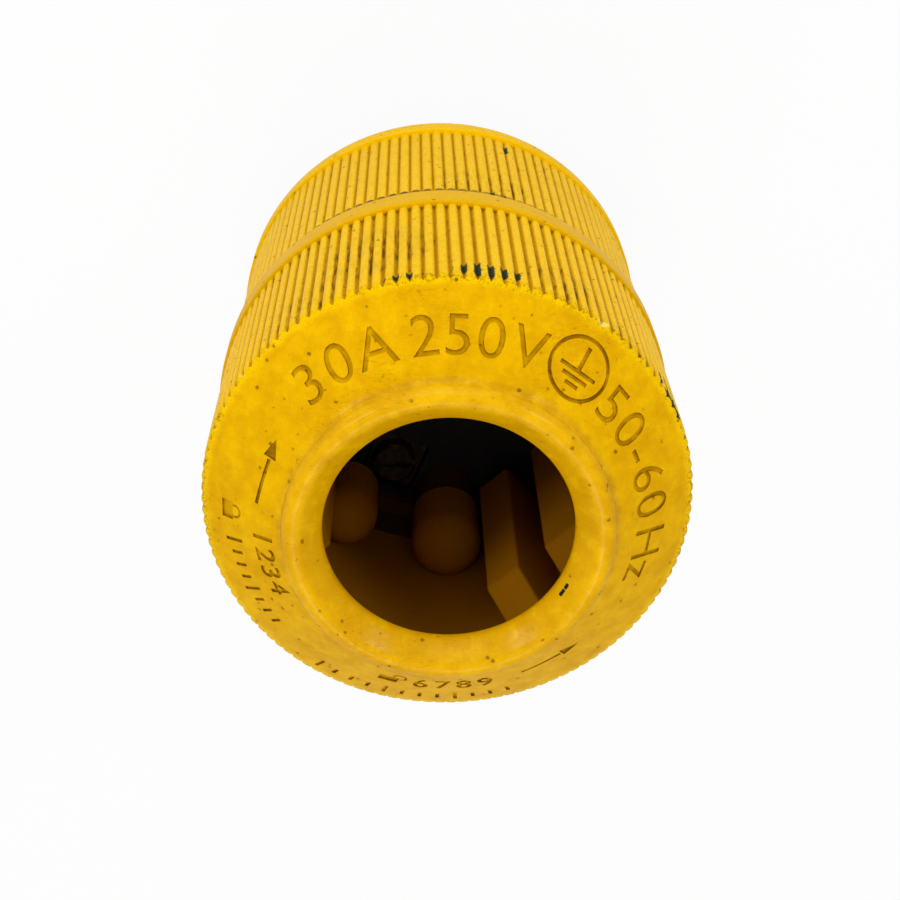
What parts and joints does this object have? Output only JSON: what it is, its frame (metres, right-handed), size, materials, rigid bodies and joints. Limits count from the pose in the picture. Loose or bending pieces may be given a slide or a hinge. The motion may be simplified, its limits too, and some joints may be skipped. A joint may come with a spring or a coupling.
{
  "type": "locking power plug",
  "caption": "Round twist-locking power plug with a ribbed two-piece shell, an open cord hole in a conical end, and curved blades on a black contact base.",
  "frame": {"origin": "on the plug's axis, at the level of its blade tips, on which it stands", "axes": "+Z along the plug from the blade tips to the cord end; +Y towards screw post a, which stands 1.6 degrees past it; +X to the right as seen from the cord end with +Y up"},
  "size_m": [0.062, 0.062, 0.0907],
  "materials": {
    "yellow_shell": "satin moulded nylon, worn and dirty in its grooves",
    "black_insulator": "satin moulded phenolic",
    "contact_brass": "dull stamped brass",
    "screw_steel": "plated steel",
    "ground_screw_green": "green dyed plating"
  },
  "bodies": {
    "root": {"rear_shell": "yellow_shell", "front_shell": "yellow_shell", "blade_base": "black_insulator", "base_cover": "black_insulator", "line_blade": "contact_brass", "neutral_blade": "contact_brass", "ground_blade": "contact_brass", "line_clamp": "contact_brass", "neutral_clamp": "contact_brass", "ground_clamp": "contact_brass", "line_nut": "screw_steel", "neutral_nut": "screw_steel", "ground_nut": "screw_steel", "line_screw": "screw_steel", "neutral_screw": "screw_steel", "ground_screw": "ground_screw_green", "insert_a": "contact_brass", "insert_b": "contact_brass", "insert_c": "contact_brass", "assembly_screw_a": "screw_steel", "assembly_screw_b": "screw_steel", "assembly_screw_c": "screw_steel"}
  },
  "joints": []
}
